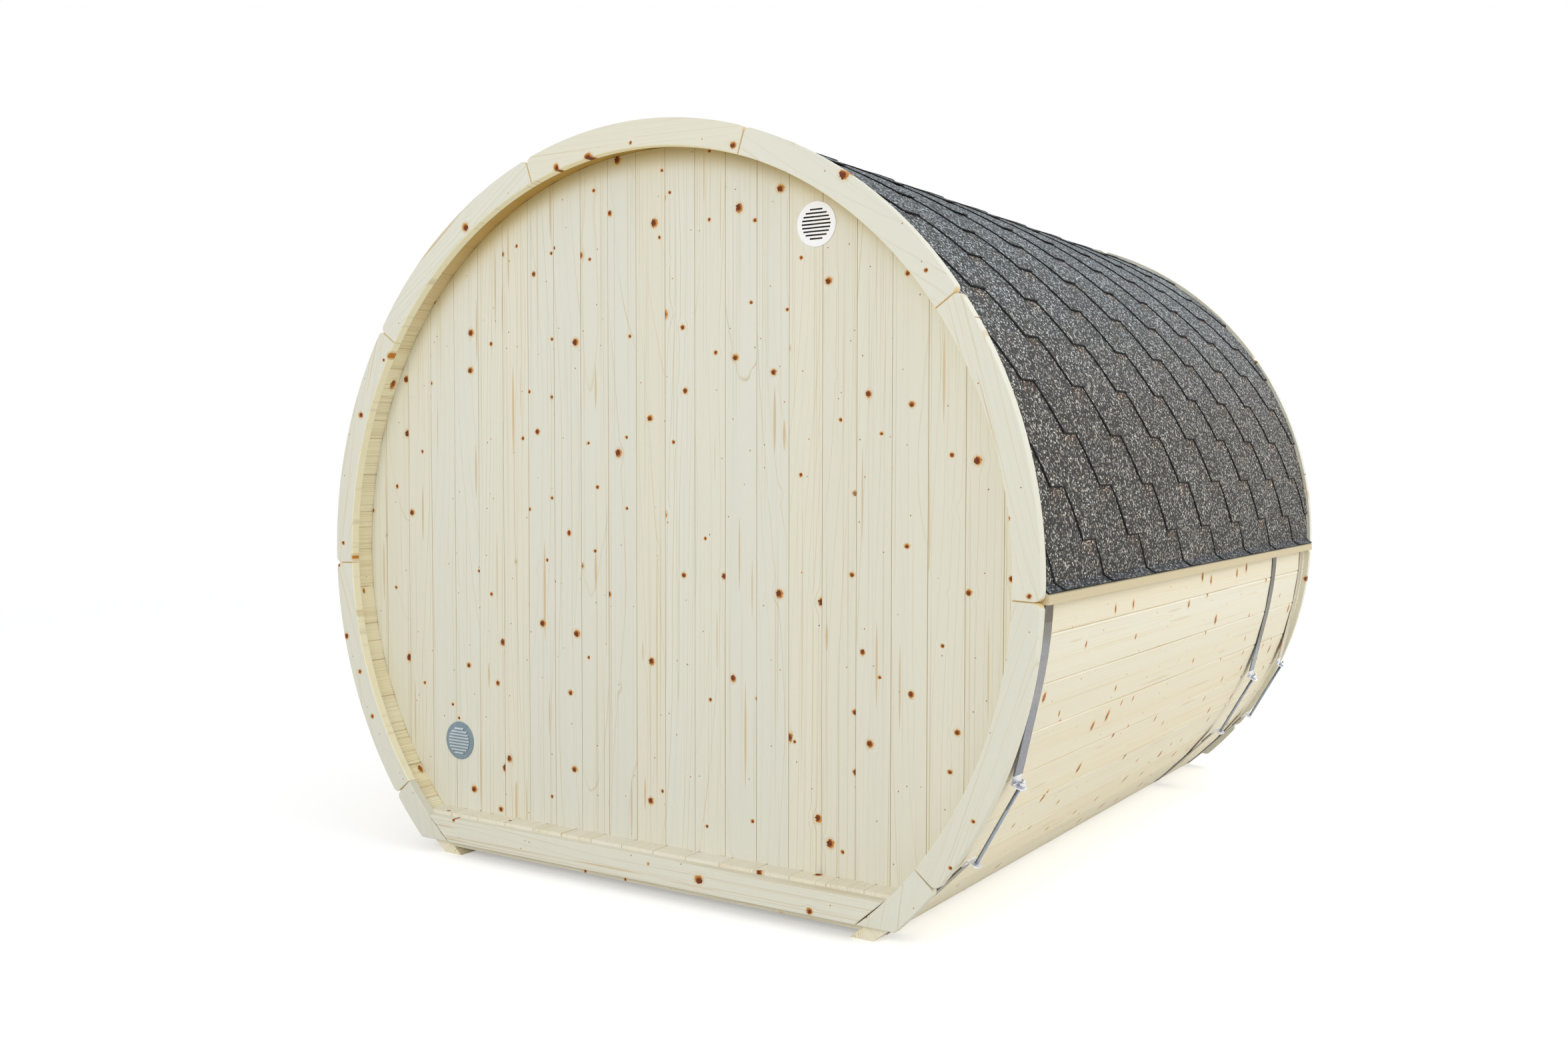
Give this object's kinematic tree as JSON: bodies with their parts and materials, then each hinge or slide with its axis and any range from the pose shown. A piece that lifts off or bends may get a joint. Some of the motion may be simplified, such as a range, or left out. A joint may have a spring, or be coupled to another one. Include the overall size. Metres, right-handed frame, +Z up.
{
  "type": "barrel sauna",
  "caption": "Round wooden cabin like a barrel on its side, with a shingled top, steel hoops, a closed end wall with vents and an open porch with a door.",
  "frame": {"origin": "on the ground, under the middle of the barrel", "axes": "+Z up, +Y along the barrel towards the porch, +X to the right as seen from the closed end"},
  "size_m": [2.5014, 2.7, 2.185],
  "materials": {
    "stave_wood": "planed, untreated spruce",
    "rim_wood": "planed, untreated spruce",
    "wall_wood": "planed, untreated spruce",
    "floor_wood": "planed, untreated spruce",
    "door_wood": "planed, untreated spruce",
    "handle_wood": "sanded, oiled",
    "felt_shingle": "mineral granules",
    "galvanised_strap": "galvanised",
    "zinc_bolt": "zinc plated",
    "hinge_steel": "zinc plated",
    "white_vent": "satin",
    "grey_vent": "satin",
    "glass": "clear, lightly tinted"
  },
  "bodies": {
    "root": {"bearers": "floor_wood", "door_frame": "door_wood", "door_glass": "glass", "door_handle": "handle_wood", "door_hinges": "hinge_steel", "door_leaf": "door_wood", "eave_battens": "stave_wood", "floor": "floor_wood", "foot_left": "stave_wood", "foot_right": "stave_wood", "front_rim_feet": "rim_wood", "front_rim_left_lower": "rim_wood", "front_rim_left_middle": "rim_wood", "front_rim_left_upper": "rim_wood", "front_rim_right_lower": "rim_wood", "front_rim_right_middle": "rim_wood", "front_rim_right_upper": "rim_wood", "front_rim_sill": "rim_wood", "front_rim_top": "rim_wood", "lower_straps": "galvanised_strap", "lower_vent": "grey_vent", "porch_wall_head": "wall_wood", "porch_wall_left": "wall_wood", "porch_wall_right": "wall_wood", "rear_rim_feet": "rim_wood", "rear_rim_left_lower": "rim_wood", "rear_rim_left_middle": "rim_wood", "rear_rim_left_upper": "rim_wood", "rear_rim_right_lower": "rim_wood", "rear_rim_right_middle": "rim_wood", "rear_rim_right_upper": "rim_wood", "rear_rim_sill": "rim_wood", "rear_rim_top": "rim_wood", "rear_wall": "wall_wood", "ridge_cap": "felt_shingle", "roof_left": "felt_shingle", "roof_right": "felt_shingle", "tension_bolts": "zinc_bolt", "upper_straps": "galvanised_strap", "upper_vent": "white_vent", "vault_1": "stave_wood", "vault_2": "stave_wood", "vault_3": "stave_wood", "vault_4": "stave_wood", "vault_5": "stave_wood", "wall_left": "stave_wood", "wall_right": "stave_wood"}
  },
  "joints": []
}
